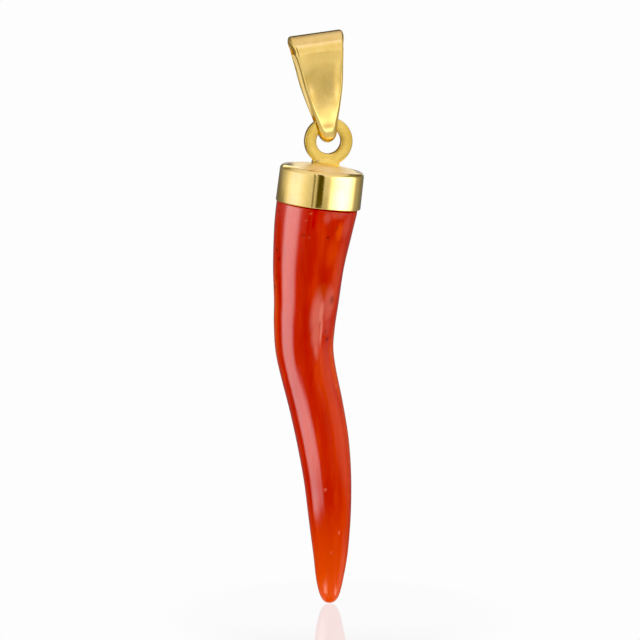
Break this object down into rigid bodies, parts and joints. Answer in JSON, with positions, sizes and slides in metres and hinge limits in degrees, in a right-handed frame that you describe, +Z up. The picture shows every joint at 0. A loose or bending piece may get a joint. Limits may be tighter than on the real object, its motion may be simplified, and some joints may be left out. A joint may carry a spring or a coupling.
{
  "type": "chili pepper pendant",
  "caption": "Carved red coral horn in a gold cap, whose flat eyelet ring swings on a tapered gold bail that a chain runs through.",
  "frame": {"origin": "inner top of the bail's fold, where the pendant hangs on a chain", "axes": "+Z up as the pendant hangs, +X to the right seen from the front, the front faces -Y"},
  "size_m": [0.0092, 0.0086, 0.0586],
  "materials": {
    "polished_gold": "polished yellow gold sheet",
    "cap_gold": "polished yellow gold, with a satin eyelet",
    "coral": "glossy polished red coral"
  },
  "bodies": {
    "bail": {"bail": "polished_gold"},
    "drop": {"cap_and_eye": "cap_gold", "horn": "coral"}
  },
  "joints": [
    {"name": "drop_swing", "type": "hinge", "parent": "bail", "child": "drop", "pos_m": [0.00132, 0, -0.0106], "axis": [0, 1, 0], "range_deg": [-118, 90]}
  ]
}
